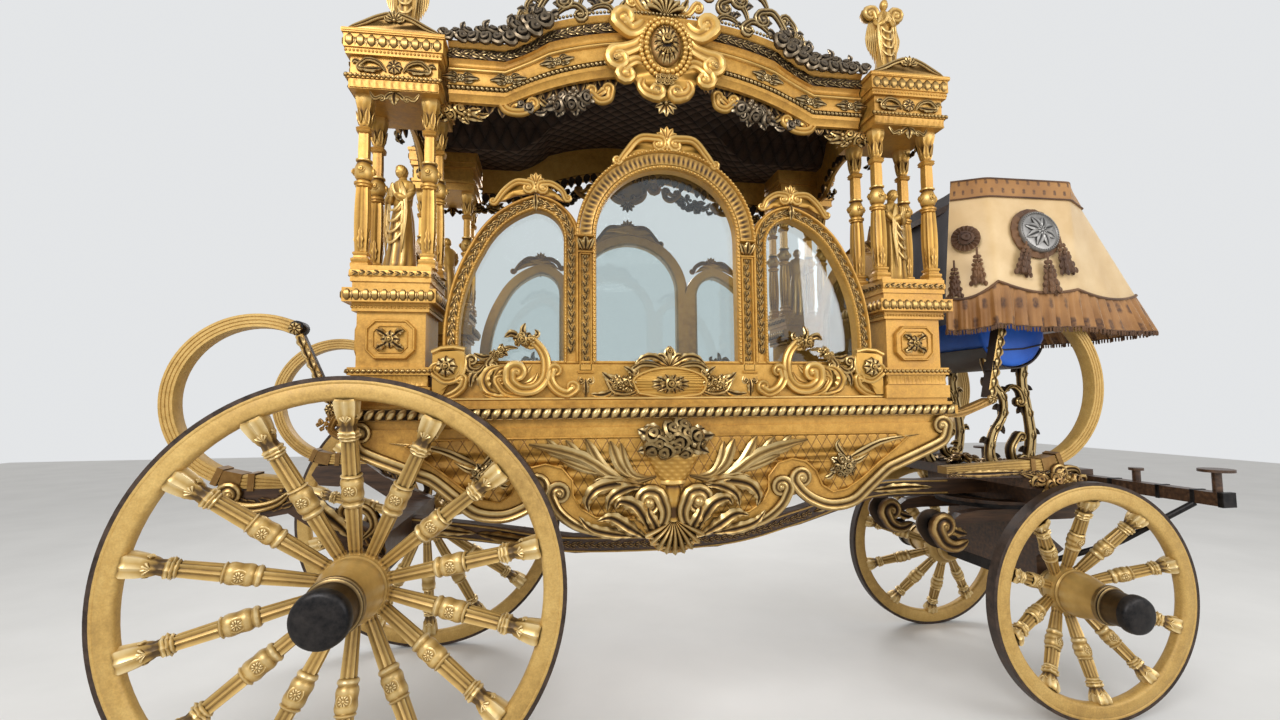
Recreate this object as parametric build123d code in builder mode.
# Gilded four-wheeled horse-drawn funeral carriage.
# Millimetres.  +X is the way it is drawn, +Y its left side, +Z up, the ground is Z = 0.
# Origin: on the ground, half way along the whole carriage and midway between its wheels.
# Places along the carriage are counted from the middle of the body and moved by BODY_X.

import os

from build123d import *

os.makedirs("parts", exist_ok=True)

# Wheels and axles
REAR_WHEEL_R = 725
FRONT_WHEEL_R = 498
REAR_AXLE_X = -1120
FRONT_AXLE_X = 1845
REAR_WHEEL_Y = 740
FRONT_WHEEL_Y = 566
REAR_SPOKES = 14
FRONT_SPOKES = 10
TYRE_T = 14
TYRE_W = 48
FELLOE_D = 66
FELLOE_W = 52
SPOKE_R = 19
WHEEL_DISH = 140
HUB_INNER = 225
HUB_OUTER = 203
HUB_CAP_T = 8
FRONT_HUB_SCALE = 0.86
AXLE_ARM_R = 26
AXLE_FIT = 0.05
AXLE_BAR = 64
ARM_END_GAP = 5
SHOULDER_GAP = 8

# Body: base, hull and cabin
BASE_HALF_L = 1180
BASE_HALF_W = 650
BASE_Z = 1265
DECK_Z = 1365
SILL_Z = 1500
SILL_HALF_W = 600
SILL_T = 60
HULL_PANEL_T = 40
HULL_HALF_W = 600
HULL_BOTTOM_Z = 900
SCREEN_T = 45
SCREEN_Y = 585
GLASS_T = 6
GLASS_LAP = 10
CENTRE_HALF = 280
CENTRE_SPRING_Z = 1996
CENTRE_FRAME = 56
POST_W = 124
SIDE_INNER_X = CENTRE_HALF + POST_W
SIDE_PEAK_X = 512
SIDE_PEAK_Z = 2092
SIDE_OUTER_X = 788
SIDE_FRAME = 58
DECK_HALF_L = 850
DECK_HALF_W = 300
COFFIN_DECK_T = 45

# Corner towers
TOWER_X = 1018
TOWER_Y = 497
PEDESTAL_HALF = 118
COLUMN_DX = 116
COLUMN_DY = 86
COLUMN_FOOT_Z = 1850
LOWER_RING_Z = 2162
UPPER_RING_Z = 2362
ENTABLATURE_Z = 2491
SLAB_Z = 2704
SLAB_HALF = 178
ENTABLATURE_HALF = 156
PEDIMENT_Z = 2770

# Canopy
FASCIA_Z = 2550
FASCIA_H = 178
FASCIA_T = 40
FASCIA_Y = 575
FLAT_X = 630
ARCH_RISE = 165
END_FLAT_Y = 260
END_RISE = 120
ROOF_T = 22
CROWN_TOP_Z = 3480

# Doors at the rear
DOOR_HALF = 325
DOOR_T = 30
DOOR_CLEARANCE = 4
JAMB_W = TOWER_Y - PEDESTAL_HALF - DOOR_HALF
DOOR_X = -1120
DOOR_GAP = 2
HINGE_R = 8
HINGE_OUT = 10
HINGE_Z = (1440, 1600, 1765)
KNUCKLE_H = 30
DOOR_SPRING_Z = 1800

# Undercarriage
BEAM_Y = 436
SPRING_W = 62
SPRING_T = 52
REAR_SPRING = (-1527, 1374, 323)
FRONT_SPRING = (1672, 1427, 395)
REAR_TIP_DEG = 66
FRONT_TIP_DEG = 103
SPRING_FOOT_DEG = -90
REAR_TAIL_X = -1385
FRONT_TAIL_X = 1250
EYE_R = 22
EYE_OUT = 12
PERCH_W = 76
PERCH_H = 76
REAR_BED_Z = (760, 866)
PLATE_Z = 862
PLATE_T = 16
RING_R = (190, 270)
KING_R = 20
KING_FIT = 0.05
FRONT_BED_Z = (960, 1008)
FRONT_BED_X = (1640, 1905)
SPLINTER_X = 2360
SPLINTER_Z = 925
SPLINTER_HALF = 720
STEP_R = 62

# Box seat
CLOTH_T = 15
HEM_Z = 1655
JOINT_Z = 1835
CLOTH_TOP_Z = 2385
SEAT_Z = 2285
SEAT_BOARD_T = 30
SOFT_GAP = 0.3

# The origin is half way between the rear springs' backs and the cloth's front hem.
REAR_END = REAR_SPRING[0] - REAR_SPRING[2]
HEM_FRONT_X = 2520
BODY_X = -(REAR_END + HEM_FRONT_X) / 2


def keep(part, name):
    part.label = name
    export_step(part, f"parts/{name}.step")


def side_plane(y):
    """A plane facing the carriage's right: sketch x is +X from the body's middle, sketch y is +Z."""
    return Plane(origin=(BODY_X, y, 0), x_dir=(1, 0, 0), z_dir=(0, -1, 0))


def end_plane(x):
    """A plane facing forward: sketch x is +Y, sketch y is +Z."""
    return Plane(origin=(BODY_X + x, 0, 0), x_dir=(0, 1, 0), z_dir=(1, 0, 0))


def level(z):
    return Plane(origin=(BODY_X, 0, z), x_dir=(1, 0, 0), z_dir=(0, 0, 1))


# Base: four stepped mouldings; half length, half width, bottom, top
BASE_STEPS = [
    (BASE_HALF_L - 30, BASE_HALF_W - 20, BASE_Z, BASE_Z + 35),
    (BASE_HALF_L, BASE_HALF_W, BASE_Z + 35, BASE_Z + 68),
    (BASE_HALF_L - 15, BASE_HALF_W - 12, BASE_Z + 68, BASE_Z + 84),
    (BASE_HALF_L - 28, BASE_HALF_W - 24, BASE_Z + 84, DECK_Z),
]
with BuildPart() as base:
    for half_l, half_w, low, high in BASE_STEPS:
        with BuildSketch(level(low)):
            Rectangle(2 * half_l, 2 * half_w)
        extrude(amount=high - low)
keep(base.part, "base_plate")


def hull_outline(inset):
    """Half of the scrolled lower edge, from the middle forward, mirrored by the caller."""
    with BuildLine() as edge:
        a = Line((0, BASE_Z), (0, 798 + inset))
        b = ThreePointArc(a @ 1, (60, 812 + inset), (100, 862 + inset))
        c = Line(b @ 1, (160, 872 + inset))
        d = ThreePointArc(c @ 1, (290, 874 + inset), (375, 904 + inset))
        e = ThreePointArc(d @ 1, (436, 950 + inset), (448 - inset, 1022))
        f = ThreePointArc(e @ 1, (440 - inset, 1050), (474, 1076 + inset))
        g = ThreePointArc(f @ 1, (502 + inset, 1050), (497 + inset, 1022))
        h = ThreePointArc(g @ 1, (540, 960 + inset), (620, 938 + inset))
        i = ThreePointArc(h @ 1, (715, 950 + inset), (790, 1004 + inset))
        j = ThreePointArc(i @ 1, (868, 1070 + inset), (988 - inset, 1122 + inset))
        k = ThreePointArc(j @ 1, (1100 - inset, 1178 + inset), (1150 - inset, 1240))
        m = Line(k @ 1, (1145 - inset, BASE_Z))
        Line(m @ 1, a @ 0)
    return edge.line


# Scrolled side panels under the base
for side_name, y in (("right", -HULL_HALF_W), ("left", HULL_HALF_W + HULL_PANEL_T)):
    with BuildPart() as hull_side:
        with BuildSketch(side_plane(y)):
            with BuildLine():
                add(hull_outline(0))
            make_face()
            mirror(about=Plane.YZ)
        extrude(amount=HULL_PANEL_T)
    keep(hull_side.part, f"hull_side_{side_name}")

# Closed hull between the side panels, with flat-cut bilges
HULL_FLOOR = [(0, BASE_Z), (0, HULL_BOTTOM_Z), (300, HULL_BOTTOM_Z + 20), (640, HULL_BOTTOM_Z + 110),
              (980, HULL_BOTTOM_Z + 260), (1120, BASE_Z - 25), (1120, BASE_Z)]
BILGE = 150
with BuildPart() as hull:
    with BuildSketch(side_plane(HULL_HALF_W)):
        with BuildLine():
            Polyline(*HULL_FLOOR, close=True)
        make_face()
        mirror(about=Plane.YZ)
    extrude(amount=2 * HULL_HALF_W)
    for sign in (-1, 1):
        with BuildSketch(end_plane(-BASE_HALF_L)):
            with BuildLine():
                Polyline((sign * (HULL_HALF_W - BILGE), HULL_BOTTOM_Z - 10), (sign * (HULL_HALF_W + 10), HULL_BOTTOM_Z - 10),
                         (sign * (HULL_HALF_W + 10), HULL_BOTTOM_Z + BILGE), close=True)
            make_face()
        extrude(amount=2 * BASE_HALF_L, mode=Mode.SUBTRACT)
keep(hull.part, "hull_tub")

# The four towers: places of their middles
TOWERS = [(sx * TOWER_X, sy * TOWER_Y) for sx in (-1, 1) for sy in (-1, 1)]

# Pedestals: half side, bottom, top
PEDESTAL_STEPS = [
    (PEDESTAL_HALF + 22, DECK_Z, DECK_Z + 50),
    (PEDESTAL_HALF + 12, DECK_Z + 50, 1458),
    (PEDESTAL_HALF + 22, 1458, 1486),
    (PEDESTAL_HALF, 1486, 1686),
    (PEDESTAL_HALF + 14, 1686, 1716),
    (PEDESTAL_HALF + 40, 1716, 1766),
    (PEDESTAL_HALF + 14, 1766, 1792),
    (PEDESTAL_HALF + 20, 1792, COLUMN_FOOT_Z),
]
with BuildPart() as pedestals:
    for half, low, high in PEDESTAL_STEPS:
        with BuildSketch(level(low)):
            with Locations(*TOWERS):
                Rectangle(2 * half, 2 * half)
        extrude(amount=high - low)
keep(pedestals.part, "tower_pedestals")

# Sill boards under the side screens, between the corner pedestals
SILL_LONG = TOWER_X - PEDESTAL_HALF - 22
with BuildPart() as sill:
    for y in (-SILL_HALF_W, SILL_HALF_W - SILL_T):
        with BuildSketch(level(DECK_Z)):
            with Locations((0, y + SILL_T / 2)):
                Rectangle(2 * SILL_LONG, SILL_T)
        extrude(amount=SILL_Z - DECK_Z)
keep(sill.part, "cabin_sill")

# Low bier deck for the coffin, on a plinth
BIER_PLINTH = 40
BIER_LAP = 40
with BuildPart() as bier:
    with BuildSketch(level(DECK_Z)):
        Rectangle(2 * (DECK_HALF_L - BIER_LAP), 2 * (DECK_HALF_W - BIER_LAP))
    extrude(amount=BIER_PLINTH)
    with BuildSketch(level(DECK_Z + BIER_PLINTH)):
        Rectangle(2 * DECK_HALF_L, 2 * DECK_HALF_W)
    extrude(amount=COFFIN_DECK_T)
keep(bier.part, "coffin_deck")


def centre_arch(grow, foot_z):
    """The round-headed middle opening, grown by the given border."""
    half = CENTRE_HALF + grow
    with BuildLine() as edge:
        Line((-half, foot_z), (half, foot_z))
        Line((half, foot_z), (half, CENTRE_SPRING_Z))
        ThreePointArc((half, CENTRE_SPRING_Z), (0, CENTRE_SPRING_Z + half), (-half, CENTRE_SPRING_Z))
        Line((-half, CENTRE_SPRING_Z), (-half, foot_z))
    return edge.line


def side_arch(grow, foot_z, post=None):
    """The swept opening in front of the middle one, grown by the given border; post is the inner border."""
    inner = SIDE_INNER_X - (grow if post is None else post)
    outer = SIDE_OUTER_X + grow
    peak = SIDE_PEAK_Z + grow
    shoulder = (700 + 0.75 * grow, 1925 + 0.7 * grow)
    with BuildLine() as edge:
        Line((inner, foot_z), (outer, foot_z))
        Line((outer, foot_z), (outer, 1600))
        ThreePointArc((outer, 1600), (762 + 0.95 * grow, 1780 + 0.3 * grow), shoulder)
        ThreePointArc(shoulder, (622 + 0.5 * grow, 2030 + 0.85 * grow), (SIDE_PEAK_X, peak))
        ThreePointArc((SIDE_PEAK_X, peak), (438 - 0.6 * grow, 2062 + 0.8 * grow), (inner, 1985))
        Line((inner, 1985), (inner, foot_z))
    return edge.line


# Glazed side screens: one round middle arch and two swept arches each
for side_name, y in (("right", -SCREEN_Y + SCREEN_T), ("left", SCREEN_Y)):
    with BuildPart() as screen:
        with BuildSketch(side_plane(y)):
            with BuildLine():
                add(centre_arch(CENTRE_FRAME, SILL_Z))
            make_face()
            with BuildLine():
                add(side_arch(SIDE_FRAME, SILL_Z, POST_W - CENTRE_FRAME))
            border = make_face(mode=Mode.PRIVATE)
            add(border)
            mirror(border, about=Plane.YZ)
            with BuildLine():
                add(centre_arch(0, SILL_Z + 14))
            make_face(mode=Mode.SUBTRACT)
            with BuildLine():
                add(side_arch(0, SILL_Z + 14))
            opening = make_face(mode=Mode.PRIVATE)
            add(opening, mode=Mode.SUBTRACT)
            mirror(opening, about=Plane.YZ, mode=Mode.SUBTRACT)
        extrude(amount=SCREEN_T)
    keep(screen.part, f"window_screen_{side_name}")

# Panes behind the screens, lapping each opening
for side_name, y in (("right", -SCREEN_Y + SCREEN_T + GLASS_T), ("left", SCREEN_Y - SCREEN_T)):
    with BuildPart() as panes:
        with BuildSketch(side_plane(y)):
            with BuildLine():
                add(centre_arch(GLASS_LAP, SILL_Z + 2))
            make_face()
            with BuildLine():
                add(side_arch(GLASS_LAP, SILL_Z + 2))
            pane = make_face(mode=Mode.PRIVATE)
            add(pane)
            mirror(pane, about=Plane.YZ)
        extrude(amount=GLASS_T)
    keep(panes.part, f"window_glass_{side_name}")


def door_arch(half, grow, foot_z):
    """A three-centred head between upright jambs."""
    with BuildLine() as edge:
        Line((-half - grow, foot_z), (half + grow, foot_z))
        Line((half + grow, foot_z), (half + grow, DOOR_SPRING_Z))
        ThreePointArc((half + grow, DOOR_SPRING_Z), (0, DOOR_SPRING_Z + 0.8 * half + grow), (-half - grow, DOOR_SPRING_Z))
        Line((-half - grow, DOOR_SPRING_Z), (-half - grow, foot_z))
    return edge.line


# Front screen with one arched window, let in between the pedestals
FRONT_WINDOW_HALF = 270
with BuildPart() as front_screen:
    with BuildSketch(end_plane(-DOOR_X - SCREEN_T)):
        with BuildLine():
            add(door_arch(DOOR_HALF, JAMB_W, DECK_Z))
        make_face()
        with BuildLine():
            add(door_arch(FRONT_WINDOW_HALF, 0, SILL_Z + 50))
        make_face(mode=Mode.SUBTRACT)
    extrude(amount=SCREEN_T)
    add(pedestals.part, mode=Mode.SUBTRACT)
keep(front_screen.part, "front_screen")

HINGE_Y = DOOR_HALF + DOOR_GAP
STRAP_IN = 26


def knuckles(sign, side, lift):
    """Hinge knuckles with their straps: side is 1 on the jamb and -1 on the leaf."""
    reach = HINGE_R + 2 if side == 1 else STRAP_IN
    with BuildPart() as hinges:
        for z in HINGE_Z:
            with BuildSketch(level(z + lift)):
                with Locations((DOOR_X - HINGE_OUT, sign * HINGE_Y)):
                    Circle(HINGE_R)
                with Locations((DOOR_X - HINGE_OUT / 2, sign * (HINGE_Y + side * reach / 2))):
                    Rectangle(HINGE_OUT + 4, reach)
            extrude(amount=KNUCKLE_H)
    return hinges.part


# Jambs and arched head round the rear doors
with BuildPart() as door_frame:
    with BuildSketch(end_plane(DOOR_X)):
        with BuildLine():
            add(door_arch(DOOR_HALF, JAMB_W, DECK_Z))
        make_face()
        with BuildLine():
            add(door_arch(DOOR_HALF, DOOR_CLEARANCE, DECK_Z))
        make_face(mode=Mode.SUBTRACT)
    extrude(amount=SCREEN_T)
    add(pedestals.part, mode=Mode.SUBTRACT)
    for sign in (-1, 1):
        add(knuckles(sign, 1, -KNUCKLE_H - 1))
keep(door_frame.part, "rear_door_frame")

with BuildPart() as front_pane:
    with BuildSketch(end_plane(-DOOR_X - SCREEN_T - GLASS_T)):
        with BuildLine():
            add(door_arch(FRONT_WINDOW_HALF, GLASS_LAP, SILL_Z + 40))
        make_face()
    extrude(amount=GLASS_T)
keep(front_pane.part, "front_glass")

# Two glazed leaves close the rear end, hinged at the pedestals
DOOR_FOOT_Z = DECK_Z + 6
for side_name, sign in (("right", -1), ("left", 1)):
    stile = 55
    with BuildPart() as leaf:
        with BuildSketch(end_plane(DOOR_X)):
            with BuildLine():
                add(door_arch(DOOR_HALF, 0, DOOR_FOOT_Z))
            make_face()
            with BuildLine():
                add(door_arch(DOOR_HALF - stile, 0, DOOR_FOOT_Z + 180))
            make_face(mode=Mode.SUBTRACT)
            with Locations((0, DOOR_SPRING_Z - 100)):
                Rectangle(2 * stile, 900)
            with Locations((-sign * DOOR_HALF, DOOR_SPRING_Z)):
                Rectangle(2 * (DOOR_HALF + DOOR_GAP), 2400, mode=Mode.SUBTRACT)
            with BuildLine():
                add(door_arch(DOOR_HALF, 0, DOOR_FOOT_Z))
            make_face(mode=Mode.INTERSECT)
        extrude(amount=DOOR_T)
        add(knuckles(sign, -1, 0))
    keep(leaf.part, f"rear_door_{side_name}")
    with BuildPart() as door_pane:
        with BuildSketch(end_plane(DOOR_X + DOOR_T)):
            with BuildLine():
                add(door_arch(DOOR_HALF - stile, GLASS_LAP, DOOR_FOOT_Z + 170))
            make_face()
            with Locations((-sign * DOOR_HALF, DOOR_SPRING_Z)):
                Rectangle(2 * (DOOR_HALF + stile - GLASS_LAP), 2400, mode=Mode.SUBTRACT)
        extrude(amount=GLASS_T)
    keep(door_pane.part, f"rear_door_glass_{side_name}")

# Colonnette: radius, height
COLUMN_PROFILE = [
    (30, COLUMN_FOOT_Z), (30, COLUMN_FOOT_Z + 16), (22, COLUMN_FOOT_Z + 30), (26, COLUMN_FOOT_Z + 60),
    (18, COLUMN_FOOT_Z + 110), (19, LOWER_RING_Z - 14), (33, LOWER_RING_Z - 8), (33, LOWER_RING_Z + 6),
    (20, LOWER_RING_Z + 12), (34, LOWER_RING_Z + 44), (18, LOWER_RING_Z + 78), (15, UPPER_RING_Z - 12),
    (30, UPPER_RING_Z - 8), (30, UPPER_RING_Z + 6), (14, UPPER_RING_Z + 14), (32, UPPER_RING_Z + 84),
    (20, UPPER_RING_Z + 100), (32, ENTABLATURE_Z - 16), (32, ENTABLATURE_Z),
]
COLUMNS = [(tx + dx, ty + dy) for tx, ty in TOWERS for dx in (-COLUMN_DX, COLUMN_DX) for dy in (-COLUMN_DY, COLUMN_DY)]
with BuildPart() as column:
    with BuildSketch(Plane.XZ):
        with BuildLine():
            Polyline((0, COLUMN_FOOT_Z), *COLUMN_PROFILE, (0, ENTABLATURE_Z), close=True)
        make_face()
    revolve(axis=Axis.Z)
with BuildPart() as columns:
    with Locations(*[(BODY_X + x, y, 0) for x, y in COLUMNS]):
        add(column.part)
keep(columns.part, "tower_columns")

# Robed figures inside the towers: radius, height above the foot
FIGURE_PROFILE = [(62, 0), (62, 24), (50, 30), (56, 60), (44, 170), (46, 250), (54, 320), (44, 350), (17, 362),
                  (17, 376), (30, 392), (32, 410), (24, 434), (0, 442)]
with BuildPart() as figure:
    with BuildSketch(Plane.XZ):
        with BuildLine():
            Polyline((0, 0), *FIGURE_PROFILE, close=True)
        make_face()
    revolve(axis=Axis.Z)
with BuildPart() as figures:
    with Locations(*[(BODY_X + x, y, COLUMN_FOOT_Z) for x, y in TOWERS]):
        add(figure.part)
keep(figures.part, "tower_statues")

# Entablatures: half side, bottom, top
ENTABLATURE_STEPS = [
    (ENTABLATURE_HALF, ENTABLATURE_Z, ENTABLATURE_Z + 36),
    (ENTABLATURE_HALF + 8, ENTABLATURE_Z + 36, ENTABLATURE_Z + 52),
    (ENTABLATURE_HALF - 4, ENTABLATURE_Z + 52, ENTABLATURE_Z + 122),
    (ENTABLATURE_HALF + 10, ENTABLATURE_Z + 122, ENTABLATURE_Z + 146),
    (SLAB_HALF - 6, ENTABLATURE_Z + 146, SLAB_Z - 16),
    (SLAB_HALF, SLAB_Z - 16, SLAB_Z),
]
with BuildPart() as entablatures:
    for half, low, high in ENTABLATURE_STEPS:
        with BuildSketch(level(low)):
            with Locations(*TOWERS):
                Rectangle(2 * half, 2 * half)
        extrude(amount=high - low)
    with BuildSketch(level(SLAB_Z)):
        with Locations(*TOWERS):
            Rectangle(2 * SLAB_HALF - 40, 2 * SLAB_HALF - 40)
    extrude(amount=PEDIMENT_Z - SLAB_Z, taper=50)
keep(entablatures.part, "tower_entablatures")

# Winged figures on the towers: radius, height above the pediment
FINIAL_PROFILE = [(58, 0), (58, 22), (44, 30), (50, 60), (40, 160), (46, 230), (50, 270), (40, 300), (16, 312),
                  (16, 324), (28, 338), (30, 356), (22, 378), (0, 390)]
WING = (70, 26, 190)
with BuildPart() as finial:
    with BuildSketch(Plane.XZ):
        with BuildLine():
            Polyline((0, 0), *FINIAL_PROFILE, close=True)
        make_face()
    revolve(axis=Axis.Z)
    for sign in (-1, 1):
        with Locations((sign * 62, 0, 235)):
            Box(*WING)
with BuildPart() as finials:
    with Locations(*[(BODY_X + x, y, PEDIMENT_Z) for x, y in TOWERS]):
        add(finial.part)
keep(finials.part, "finial_figures")

# Canopy: arched boards between the towers
FASCIA_HALF_L = TOWER_X - SLAB_HALF
FASCIA_HALF_W = TOWER_Y - SLAB_HALF


def arch_line(half, flat, rise, low, drop=0):
    """The fascia's upper line: flat by the towers, an ogee rise, a round crown."""
    with BuildLine() as edge:
        a = Line((half, low), (flat, low))
        b = ThreePointArc(a @ 1, (0.88 * flat, low + 0.20 * rise), (0.74 * flat, low + 0.60 * rise))
        c = ThreePointArc(b @ 1, (0.40 * flat, low + 0.93 * rise), (0, low + rise))
        d = ThreePointArc(c @ 1, (-0.40 * flat, low + 0.93 * rise), (-0.74 * flat, low + 0.60 * rise))
        e = ThreePointArc(d @ 1, (-0.88 * flat, low + 0.20 * rise), (-flat, low))
        f = Line(e @ 1, (-half, low))
        g = Line(f @ 1, (-half, drop))
        h = Line(g @ 1, (half, drop))
        Line(h @ 1, a @ 0)
    return edge.line


def bow_line(half, flat, rise, low, drop):
    """The fascia's soffit: flat by the towers, then one bow over the side."""
    with BuildLine() as edge:
        a = Line((half, low), (flat, low))
        b = ThreePointArc(a @ 1, (0, low + rise), (-flat, low))
        c = Line(b @ 1, (-half, low))
        d = Line(c @ 1, (-half, drop))
        e = Line(d @ 1, (half, drop))
        Line(e @ 1, a @ 0)
    return edge.line


# below the line, down to a level under the whole fascia
UNDER_Z = FASCIA_Z - 60


def fascia_face(half, flat, rise):
    """The band between the fascia's lower line and its upper one."""
    with BuildSketch() as face:
        with BuildLine():
            add(arch_line(half, flat, rise, FASCIA_Z + FASCIA_H, UNDER_Z))
        make_face()
        with BuildLine():
            add(bow_line(half + 5, flat, rise, FASCIA_Z, UNDER_Z - 5))
        make_face(mode=Mode.SUBTRACT)
    return face.sketch


with BuildPart() as side_fascias:
    for y in (-FASCIA_Y + FASCIA_T, FASCIA_Y):
        with BuildSketch(side_plane(y)):
            add(fascia_face(FASCIA_HALF_L, FLAT_X, ARCH_RISE))
        extrude(amount=FASCIA_T)
keep(side_fascias.part, "canopy_side_fascias")

END_FASCIA_X = TOWER_X + 96
with BuildPart() as end_fascias:
    for x in (-END_FASCIA_X, END_FASCIA_X - FASCIA_T):
        with BuildSketch(end_plane(x)):
            add(fascia_face(FASCIA_HALF_W, END_FLAT_Y, END_RISE))
        extrude(amount=FASCIA_T)
keep(end_fascias.part, "canopy_end_fascias")


def vault(shrink, drop):
    """Two arched roofs that cross; shrink pulls the walls in, drop lowers the crowns."""
    half_l = END_FASCIA_X - FASCIA_T - shrink
    half_w = FASCIA_Y - FASCIA_T - shrink
    top = FASCIA_Z + FASCIA_H - drop
    with BuildPart() as cross:
        with BuildSketch(side_plane(half_w)):
            with BuildLine():
                add(arch_line(FASCIA_HALF_L, FLAT_X, ARCH_RISE, top, FASCIA_Z + 40))
            make_face()
        extrude(amount=2 * half_w)
        with BuildSketch(end_plane(-half_l)):
            with BuildLine():
                add(arch_line(FASCIA_HALF_W, END_FLAT_Y, ARCH_RISE, top, FASCIA_Z + 40))
            make_face()
        extrude(amount=2 * half_l)
    return cross.part


with BuildPart() as roof:
    add(vault(0, 0))
    add(vault(0, ROOF_T), mode=Mode.SUBTRACT)
keep(roof.part, "canopy_roof")

with BuildPart() as ceiling:
    add(vault(0, ROOF_T))
    add(vault(-5, ROOF_T + 20), mode=Mode.SUBTRACT)
keep(ceiling.part, "canopy_ceiling")

# Crown over the middle: radius, height
ROOF_TOP_Z = FASCIA_Z + FASCIA_H + ARCH_RISE
CROWN_PROFILE = [(200, ROOF_TOP_Z), (200, ROOF_TOP_Z + 24), (120, ROOF_TOP_Z + 60), (70, ROOF_TOP_Z + 120),
                 (60, ROOF_TOP_Z + 190), (110, ROOF_TOP_Z + 230), (190, ROOF_TOP_Z + 260), (200, ROOF_TOP_Z + 330),
                 (150, ROOF_TOP_Z + 430), (60, ROOF_TOP_Z + 480), (24, ROOF_TOP_Z + 500), (40, CROWN_TOP_Z - 50),
                 (0, CROWN_TOP_Z)]
with BuildPart() as crown:
    with BuildSketch(Plane(origin=(BODY_X, 0, 0), x_dir=(1, 0, 0), z_dir=(0, -1, 0))):
        with BuildLine():
            Polyline((0, ROOF_TOP_Z), *CROWN_PROFILE, close=True)
        make_face()
    revolve(axis=Axis((BODY_X, 0, 0), (0, 0, 1)))
    add(roof.part, mode=Mode.SUBTRACT)
keep(crown.part, "canopy_crown")

# Perch: the long timber that dips under the hull, as a band of even height
PERCH_LINE = [(REAR_AXLE_X + 60, 813), (-760, 770), (-340, 702), (340, 702), (760, 790), (1150, 905), (1785, 915)]
with BuildPart() as perch:
    with BuildSketch(side_plane(PERCH_W / 2)):
        with BuildLine():
            Polyline(*[(x, z + PERCH_H / 2) for x, z in PERCH_LINE],
                     *[(x, z - PERCH_H / 2) for x, z in reversed(PERCH_LINE)], close=True)
        make_face()
    extrude(amount=PERCH_W)
keep(perch.part, "perch")


def axle_part(name, x, z, wheel_y):
    """A square bar with a round arm into each hub."""
    arm_end = wheel_y + HUB_OUTER - HUB_CAP_T - ARM_END_GAP
    bar_half = wheel_y - HUB_INNER - SHOULDER_GAP
    with BuildPart() as axle:
        with Locations((BODY_X + x, 0, z)):
            Box(AXLE_BAR, 2 * bar_half, AXLE_BAR)
        with BuildSketch(Plane(origin=(BODY_X + x, -arm_end, z), x_dir=(1, 0, 0), z_dir=(0, 1, 0))):
            Circle(AXLE_ARM_R)
        extrude(amount=2 * arm_end)
    keep(axle.part, name)


axle_part("rear_axle", REAR_AXLE_X, REAR_WHEEL_R, REAR_WHEEL_Y)
axle_part("front_axle", FRONT_AXLE_X, FRONT_WHEEL_R, FRONT_WHEEL_Y)

# Carved bed over the rear axle, with the two horns that carry the rear springs
HORN_Z = REAR_SPRING[1] - REAR_SPRING[2]
REAR_HORN = [(REAR_AXLE_X + 60, REAR_BED_Z[0]), (REAR_AXLE_X + 60, REAR_BED_Z[1]), (REAR_AXLE_X - 180, HORN_Z - 66),
             (REAR_TAIL_X, HORN_Z), (REAR_SPRING[0], HORN_Z), (REAR_SPRING[0] - 100, HORN_Z - 8),
             (REAR_SPRING[0] - 122, HORN_Z - 50), (-1610, 948), (-1520, 940), (-1400, 960),
             (REAR_AXLE_X - 120, 850), (REAR_AXLE_X - 60, REAR_BED_Z[0])]
with BuildPart() as rear_bed:
    with BuildSketch(level(REAR_BED_Z[0])):
        with Locations((REAR_AXLE_X, 0)):
            Rectangle(120, 2 * (BEAM_Y + SPRING_W / 2 + 3))
    extrude(amount=REAR_BED_Z[1] - REAR_BED_Z[0])
    with Locations((BODY_X + REAR_AXLE_X, 0, (REAR_WHEEL_R + AXLE_BAR / 2 + REAR_BED_Z[0]) / 2)):
        Box(AXLE_BAR, 2 * (BEAM_Y + 20), REAR_BED_Z[0] - REAR_WHEEL_R - AXLE_BAR / 2)
    for y in (-BEAM_Y, BEAM_Y):
        with BuildSketch(side_plane(y + SPRING_W / 2)):
            with BuildLine():
                Polyline(*REAR_HORN, close=True)
            make_face()
        extrude(amount=SPRING_W)
    with BuildSketch(side_plane(PERCH_W / 2 + 1)):
        with Locations((REAR_AXLE_X + 70, 813)):
            Rectangle(20, PERCH_H + 2)
    extrude(amount=PERCH_W + 2, mode=Mode.SUBTRACT)
keep(rear_bed.part, "rear_bed")


def spring_tip(centre, tip_deg, turn):
    """The eye just past the open end of a spring; turn is 1 if the leaf runs on anticlockwise there."""
    cx, cz, radius = centre
    tip = Vector(1, 0, 0).rotate(Axis.Z, tip_deg)
    onward = Vector(-tip.Y, tip.X, 0) * turn
    eye = tip * (radius - SPRING_T / 2) + onward * EYE_OUT
    return cx + eye.X, cz + eye.Y


def c_spring(name, centre, from_deg, sweep_deg, tail_x, eye):
    """A stack of leaves bent to a C, with an eye at its tip and a straight tail along its carrier."""
    cx, cz, radius = centre
    low = cz - radius
    with BuildPart() as spring:
        for y in (-BEAM_Y, BEAM_Y):
            with BuildSketch(side_plane(y + SPRING_W / 2)):
                with BuildLine():
                    outer = CenterArc((cx, cz), radius, from_deg, sweep_deg)
                    inner = CenterArc((cx, cz), radius - SPRING_T, from_deg, sweep_deg)
                    Line(outer @ 0, inner @ 0)
                    Line(outer @ 1, inner @ 1)
                make_face()
                with BuildLine():
                    Polyline((cx, low), (tail_x, low), (tail_x, low + 0.6 * SPRING_T), (cx, low + SPRING_T), close=True)
                make_face()
                with Locations(eye):
                    Circle(EYE_R)
            extrude(amount=SPRING_W)
    keep(spring.part, name)


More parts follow.
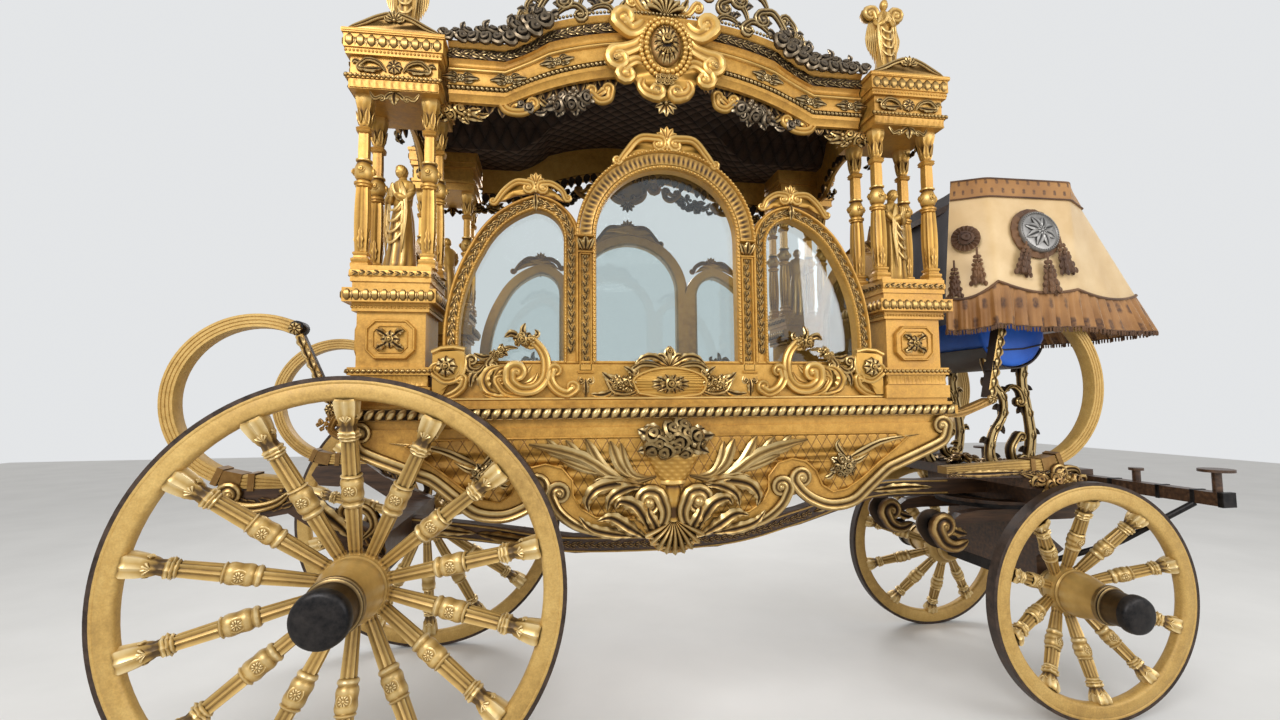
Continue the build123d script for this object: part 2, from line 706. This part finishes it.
REAR_EYE = spring_tip(REAR_SPRING, REAR_TIP_DEG, -1)
FRONT_EYE = spring_tip(FRONT_SPRING, FRONT_TIP_DEG, 1)
c_spring("rear_springs", REAR_SPRING, REAR_TIP_DEG, SPRING_FOOT_DEG + 360 - REAR_TIP_DEG, REAR_TAIL_X, REAR_EYE)
c_spring("front_springs", FRONT_SPRING, SPRING_FOOT_DEG, FRONT_TIP_DEG - SPRING_FOOT_DEG, FRONT_TAIL_X, FRONT_EYE)

# Leather braces from the springs' eyes to the body loops: eye and bottom point of each pair
REAR_BRACE = (REAR_EYE, (-1262, 1346))
FRONT_BRACE = (FRONT_EYE, (1486, 1366))
BRACE_W = 56
BRACE_T = 14
BUCKLE = (64, 24, 44)


# a flat strap each, with its buckle two thirds of the way down
with BuildPart() as braces:
    for y in (-BEAM_Y, BEAM_Y):
        for top, bottom in (REAR_BRACE, FRONT_BRACE):
            run = Vector(bottom[0] - top[0], 0, bottom[1] - top[1])
            eye_plane = Plane(origin=(BODY_X + top[0], y, top[1]), x_dir=(0, 1, 0), z_dir=run.normalized())
            with BuildSketch(eye_plane.offset(EYE_R + 0.3)):
                Rectangle(BRACE_W, BRACE_T)
            extrude(amount=run.length - EYE_R)
            with BuildSketch(eye_plane.offset(0.62 * run.length)):
                Rectangle(BUCKLE[0], BUCKLE[1])
            extrude(amount=BUCKLE[2])
keep(braces.part, "leather_braces")

# Iron arms that carry the body on the braces
ARM_W = 44
ARM_Z = BASE_Z + 8
REAR_ARM = [(-BASE_HALF_L + 30, ARM_Z), (-BASE_HALF_L + 30, ARM_Z + 26), (-1240, ARM_Z + 30), (-1262, ARM_Z + 70),
            (-1290, ARM_Z + 64), (-1262, ARM_Z)]
FRONT_ARM = [(BASE_HALF_L - 30, ARM_Z), (BASE_HALF_L - 30, ARM_Z + 26), (1340, ARM_Z + 38), (1480, ARM_Z + 90),
             (1498, ARM_Z + 62), (1350, ARM_Z + 6)]
with BuildPart() as arms:
    for y in (-BEAM_Y, BEAM_Y):
        for outline in (REAR_ARM, FRONT_ARM):
            with BuildSketch(side_plane(y + ARM_W / 2)):
                with BuildLine():
                    Polyline(*outline, close=True)
                make_face()
            extrude(amount=ARM_W)
    add(base.part, mode=Mode.SUBTRACT)
keep(arms.part, "body_loops")

# Fixed front bed: bed plate, bolster, upper wheel plate and king pin
BOLSTER_HALF_W = 440
SPRING_LOW = FRONT_SPRING[1] - FRONT_SPRING[2]
FRONT_HORN = [(FRONT_BED_X[0] + 4, FRONT_BED_Z[1]), (FRONT_TAIL_X + 90, FRONT_BED_Z[1] + 4), (FRONT_TAIL_X, SPRING_LOW - 14),
              (FRONT_TAIL_X, SPRING_LOW), (FRONT_SPRING[0], SPRING_LOW), (FRONT_SPRING[0] + 90, SPRING_LOW - 6),
              (FRONT_SPRING[0] + 170, SPRING_LOW + 8), (FRONT_BED_X[1] - 10, SPRING_LOW + 20), (FRONT_BED_X[1] + 18, SPRING_LOW),
              (FRONT_BED_X[1], FRONT_BED_Z[1] - 10), (FRONT_BED_X[0] + 4, FRONT_BED_Z[1] - 10)]
with BuildPart() as front_bed:
    with BuildSketch(level(FRONT_BED_Z[0])):
        with Locations((sum(FRONT_BED_X) / 2, 0)):
            Rectangle(FRONT_BED_X[1] - FRONT_BED_X[0], 2 * (BEAM_Y + 44))
    extrude(amount=FRONT_BED_Z[1] - FRONT_BED_Z[0])
    with BuildSketch(level(PLATE_Z)):
        with Locations((FRONT_AXLE_X, 0)):
            Rectangle(120, 2 * BOLSTER_HALF_W)
    extrude(amount=FRONT_BED_Z[0] - PLATE_Z)
    with BuildSketch(level(PLATE_Z - PLATE_T)):
        with Locations((FRONT_AXLE_X, 0)):
            Circle(RING_R[1])
            Circle(RING_R[0], mode=Mode.SUBTRACT)
            Rectangle(110, 2 * RING_R[0] + 20)
    extrude(amount=PLATE_T)
    for y in (-BEAM_Y, BEAM_Y):
        with BuildSketch(side_plane(y + SPRING_W / 2)):
            with BuildLine():
                Polyline(*FRONT_HORN, close=True)
            make_face()
        extrude(amount=SPRING_W)
keep(front_bed.part, "front_bed")

with BuildPart() as king_pin:
    with BuildSketch(level(620)):
        with Locations((FRONT_AXLE_X, 0)):
            Circle(KING_R)
    extrude(amount=PLATE_Z - PLATE_T - 620)
keep(king_pin.part, "king_pin")

# Steered fore-carriage: axle bed, lower wheel plate on the futchells, splinter bar
LOWER_PLATE_TOP = PLATE_Z - PLATE_T - 1
LOWER_PLATE_Z = LOWER_PLATE_TOP - 18
FUTCHELL_Y = 215
FUTCHELL_W = 52
FUTCHELL_Z = (LOWER_PLATE_Z - 58, LOWER_PLATE_Z)
AXLE_BED_Y = FRONT_WHEEL_Y - HUB_INNER - 2 * SHOULDER_GAP
AXLE_BED = [(AXLE_BED_Y, FRONT_WHEEL_R + AXLE_BAR / 2), (AXLE_BED_Y, 622), (AXLE_BED_Y + 47, 662), (FUTCHELL_Y + 60, 715),
            (FUTCHELL_Y + 60, FUTCHELL_Z[0])]
with BuildPart() as axle_bed:
    with BuildSketch(end_plane(FRONT_AXLE_X - 52)):
        with BuildLine():
            Polyline(*AXLE_BED, *[(-y, z) for y, z in reversed(AXLE_BED)], close=True)
        make_face()
    extrude(amount=104)
    with BuildSketch(level(FUTCHELL_Z[0])):
        with Locations((FRONT_AXLE_X, 0)):
            Rectangle(104, 2 * FUTCHELL_Y - FUTCHELL_W - 4)
    extrude(amount=LOWER_PLATE_Z - FUTCHELL_Z[0])
    with BuildSketch(level(600)):
        with Locations((FRONT_AXLE_X, 0)):
            Circle(KING_R + KING_FIT)
    extrude(amount=300, mode=Mode.SUBTRACT)
keep(axle_bed.part, "front_axle_bed")

with BuildPart() as lower_plate:
    with BuildSketch(level(LOWER_PLATE_Z)):
        with Locations((FRONT_AXLE_X, 0)):
            Circle(RING_R[1])
            Circle(RING_R[0], mode=Mode.SUBTRACT)
            Rectangle(104, 2 * RING_R[0] + 20)
            Circle(KING_R + KING_FIT, mode=Mode.SUBTRACT)
    extrude(amount=LOWER_PLATE_TOP - LOWER_PLATE_Z)
keep(lower_plate.part, "lower_wheel_plate")

FUTCHELL_LINE = [(1385, 700, 46), (1400, 740, 46), (1480, FUTCHELL_Z[0] + 20, 50), (1570, sum(FUTCHELL_Z) / 2, 58),
                 (2080, sum(FUTCHELL_Z) / 2, 58),
                 (SPLINTER_X - 140, 860, 52), (SPLINTER_X - 30, SPLINTER_Z - 26, 48)]
with BuildPart() as futchells:
    for y in (-FUTCHELL_Y, FUTCHELL_Y):
        with BuildSketch(side_plane(y + FUTCHELL_W / 2)):
            with BuildLine():
                Polyline(*[(x, z + h / 2) for x, z, h in FUTCHELL_LINE],
                         *[(x, z - h / 2) for x, z, h in reversed(FUTCHELL_LINE)], close=True)
            make_face()
        extrude(amount=FUTCHELL_W)
keep(futchells.part, "futchells")

# Splinter bar with its end steps, roller bolts and the pole socket between the futchells
ROLLER_Y = 330
STEP_Y = SPLINTER_HALF - 40
BOLT_R = 17
ROLLER_CAP_R = 30
ROLLER_CAP_Z = SPLINTER_Z + 82
STEP_PLATE_Z = SPLINTER_Z + 114
PLATE_H = 12
SOCKET_R = 38
SOCKET_LEN = 150
with BuildPart() as splinter:
    with Locations((BODY_X + SPLINTER_X, 0, SPLINTER_Z)):
        Box(60, 2 * SPLINTER_HALF, 56)
    for bolt_y, cap_z, cap_r in ((ROLLER_Y, ROLLER_CAP_Z, ROLLER_CAP_R), (STEP_Y, STEP_PLATE_Z, STEP_R)):
        with BuildSketch(level(SPLINTER_Z + 20)):
            with Locations((SPLINTER_X, -bolt_y), (SPLINTER_X, bolt_y)):
                Circle(BOLT_R)
        extrude(amount=cap_z - SPLINTER_Z - 20)
        with BuildSketch(level(cap_z)):
            with Locations((SPLINTER_X, -bolt_y), (SPLINTER_X, bolt_y)):
                Circle(cap_r)
        extrude(amount=PLATE_H)
    with Locations((BODY_X + SPLINTER_X - 30, 0, SPLINTER_Z)):
        Box(SOCKET_LEN, 2 * SOCKET_R + 36, 2 * SOCKET_R + 36)
    with BuildSketch(end_plane(SPLINTER_X - 200)):
        with Locations((0, SPLINTER_Z)):
            Circle(SOCKET_R)
    extrude(amount=400, mode=Mode.SUBTRACT)
keep(splinter.part, "splinter_bar")

# Stays from the axle bed to the splinter bar's ends
STAY_R = 13
with BuildPart() as stays:
    for sign in (-1, 1):
        start = (BODY_X + FRONT_AXLE_X + 52, sign * 300, 590)
        bend = (BODY_X + SPLINTER_X - 240, sign * 440, 700)
        end = (BODY_X + SPLINTER_X - 20, sign * 600, SPLINTER_Z - 28)
        with BuildLine() as route:
            FilletPolyline(start, bend, end, radius=160)
        with BuildSketch(Plane(origin=start, z_dir=route.line % 0)):
            Circle(STAY_R)
        sweep(path=route.line)
    with Locations((BODY_X + SPLINTER_X, 0, SPLINTER_Z)):
        Box(60, 2 * SPLINTER_HALF, 56, mode=Mode.SUBTRACT)
    with Locations((BODY_X + FRONT_AXLE_X, 0, 600)):
        Box(104, 900, 200, mode=Mode.SUBTRACT)
keep(stays.part, "splinter_stays")


# Hub: radius, distance outward from the middle of the felloe
HUB_PROFILE = [(70, -HUB_INNER), (84, -215), (88, -190), (108, -172), (116, -WHEEL_DISH - 24), (116, -WHEEL_DISH + 24),
               (108, -80), (94, 0), (84, 60), (92, 66), (92, 80), (80, 84), (78, 164), (86, 172), (86, 196), (72, HUB_OUTER)]
SPOKE_ROOT_R = 80


def wheel(name, x, y, radius, spokes, outward, hub_scale):
    """Dished gilded wheel with its tyre: both turn about the axle arm."""
    centre = (BODY_X + x, y, radius)
    felloe_r = radius - TYRE_T
    plane = Plane(origin=centre, x_dir=(1, 0, 0), z_dir=(0, outward, 0))
    with BuildPart() as tyre:
        with BuildSketch(plane.offset(-TYRE_W / 2)):
            Circle(radius)
            Circle(felloe_r, mode=Mode.SUBTRACT)
        extrude(amount=TYRE_W)
    keep(tyre.part, f"{name}_tyre")
    with BuildPart() as body:
        with BuildSketch(plane.offset(-FELLOE_W / 2)):
            Circle(felloe_r)
            Circle(felloe_r - FELLOE_D, mode=Mode.SUBTRACT)
        extrude(amount=FELLOE_W)
        with BuildSketch(Plane(origin=centre, x_dir=(0, 0, 1), z_dir=(-outward, 0, 0))):
            with BuildLine():
                Polyline((0, -HUB_INNER), *[(r * hub_scale, along) for r, along in HUB_PROFILE], (0, HUB_OUTER), close=True)
            make_face()
        revolve(axis=Axis(centre, (0, 1, 0)))
        tip_r = felloe_r - FELLOE_D + 12
        for i in range(spokes):
            radial = Vector(0, 0, 1).rotate(Axis.Y, 360 * i / spokes)
            spoke_plane = Plane(origin=centre, x_dir=radial, z_dir=radial.cross(Vector(0, outward, 0)))
            with BuildSketch(spoke_plane):
                with BuildLine():
                    Polyline((SPOKE_ROOT_R, -WHEEL_DISH - SPOKE_R), (tip_r, -SPOKE_R), (tip_r, SPOKE_R),
                             (SPOKE_ROOT_R, -WHEEL_DISH + SPOKE_R), close=True)
                make_face()
            extrude(amount=SPOKE_R, both=True)
        with BuildSketch(plane.offset(-HUB_INNER)):
            Circle(AXLE_ARM_R + AXLE_FIT)
        extrude(amount=HUB_INNER + HUB_OUTER - HUB_CAP_T, mode=Mode.SUBTRACT)
    keep(body.part, f"{name}")


WHEELS = [
    ("rear_wheel_right", REAR_AXLE_X, -REAR_WHEEL_Y, REAR_WHEEL_R, REAR_SPOKES, -1, 1),
    ("rear_wheel_left", REAR_AXLE_X, REAR_WHEEL_Y, REAR_WHEEL_R, REAR_SPOKES, 1, 1),
    ("front_wheel_right", FRONT_AXLE_X, -FRONT_WHEEL_Y, FRONT_WHEEL_R, FRONT_SPOKES, -1, FRONT_HUB_SCALE),
    ("front_wheel_left", FRONT_AXLE_X, FRONT_WHEEL_Y, FRONT_WHEEL_R, FRONT_SPOKES, 1, FRONT_HUB_SCALE),
]
for row in WHEELS:
    wheel(*row)

# Box seat.  Plan of the hammercloth, half of it: x and y at hem, joint and top
CLOTH_PLAN = {
    "hem": [(1322, 408), (1500, 532), (1905, 532), (HEM_FRONT_X, 366)],
    "joint": [(1335, 398), (1505, 520), (1900, 520), (2430, 350)],
    "top": [(1420, 352), (1550, 424), (1985, 424), (2085, 330)],
}


def plan_points(name, inset=0):
    """All eight corners of one level, moved in by the inset towards the middle line and the middle."""
    middle = 1780
    half = [(x + (inset if x < middle else -inset), y - inset) for x, y in CLOTH_PLAN[name]]
    return [(x, -y) for x, y in half] + [(x, y) for x, y in reversed(half)]


def cloth_form(inset, levels):
    with BuildPart() as form:
        for name, z in levels:
            with BuildSketch(level(z)):
                with BuildLine():
                    Polyline(*plan_points(name, inset), close=True)
                make_face()
        loft(ruled=True)
    return form.part


with BuildPart() as hammercloth:
    add(cloth_form(0, [("hem", HEM_Z), ("joint", JOINT_Z), ("top", CLOTH_TOP_Z)]))
    add(cloth_form(CLOTH_T, [("hem", HEM_Z - 1), ("joint", JOINT_Z), ("top", CLOTH_TOP_Z)]), mode=Mode.SUBTRACT)
keep(hammercloth.part, "hammercloth")

# Wooden seat box inside the cloth, with the board that the cloth hangs on
BOX_LOW = [(1430, -380), (1540, -440), (1860, -440), (2060, -320)]
BOX_HIGH = [(1450, -320), (1560, -385), (1940, -385), (2030, -290)]
with BuildPart() as seat_box:
    for z, plan in ((JOINT_Z, BOX_LOW), (SEAT_Z, BOX_HIGH)):
        with BuildSketch(level(z)):
            with BuildLine():
                Polyline(*plan, *[(x, -y) for x, y in reversed(plan)], close=True)
            make_face()
    loft(ruled=True)
    rise = (SEAT_Z - JOINT_Z) / (CLOTH_TOP_Z - JOINT_Z)
    board = [tuple(j + (t - j) * rise for j, t in zip(low, high))
             for low, high in zip(plan_points("joint", CLOTH_T + SOFT_GAP), plan_points("top", CLOTH_T + SOFT_GAP))]
    with BuildSketch(level(SEAT_Z - SEAT_BOARD_T)):
        with BuildLine():
            Polyline(*board, close=True)
        make_face()
    extrude(amount=SEAT_BOARD_T)
keep(seat_box.part, "seat_box")

with BuildPart() as cushion:
    with BuildSketch(level(SEAT_Z + SOFT_GAP)):
        with BuildLine():
            Polyline((1470, -300), (1570, -365), (1930, -365), (2010, -280), (2010, 280), (1930, 365), (1570, 365),
                     (1470, 300), close=True)
        make_face()
    extrude(amount=78)
    fillet(cushion.edges().group_by(Axis.Z)[-1], 24)
keep(cushion.part, "seat_cushion")

# Round-bottomed boot under the seat box
with BuildPart() as boot:
    with BuildSketch(side_plane(300)):
        with BuildLine():
            a = Line((1585, JOINT_Z), (1585, 1680))
            b = ThreePointArc(a @ 1, (1745, 1505), (1920, 1640))
            c = Line(b @ 1, (1920, JOINT_Z))
            Line(c @ 1, a @ 0)
        make_face()
    extrude(amount=600)
keep(boot.part, "seat_boot")

# Sloping footboard in front of the seat box, on two irons
with BuildPart() as footboard:
    with BuildSketch(side_plane(300)):
        with BuildLine():
            Polyline((1920, 1706), (1920, 1680), (2300, 1720), (2380, 1800), (2362, 1812), (2290, 1744), close=True)
        make_face()
    extrude(amount=600)
keep(footboard.part, "footboard")

# Carved stays from the front bed to the boot
SEAT_STAY_Y = 250
SEAT_STAY_W = 40
with BuildPart() as seat_stays:
    for y in (-SEAT_STAY_Y, SEAT_STAY_Y):
        with BuildSketch(side_plane(y + SEAT_STAY_W / 2)):
            with BuildLine():
                a = Line((1650, FRONT_BED_Z[1]), (1890, FRONT_BED_Z[1]))
                b = ThreePointArc(a @ 1, (1850, 1200), (1880, 1590))
                c = Line(b @ 1, (1600, 1630))
                d = ThreePointArc(c @ 1, (1700, 1350), (1650, FRONT_BED_Z[1]))
            make_face()
        extrude(amount=SEAT_STAY_W)
    add(boot.part, mode=Mode.SUBTRACT)
keep(seat_stays.part, "seat_stays")
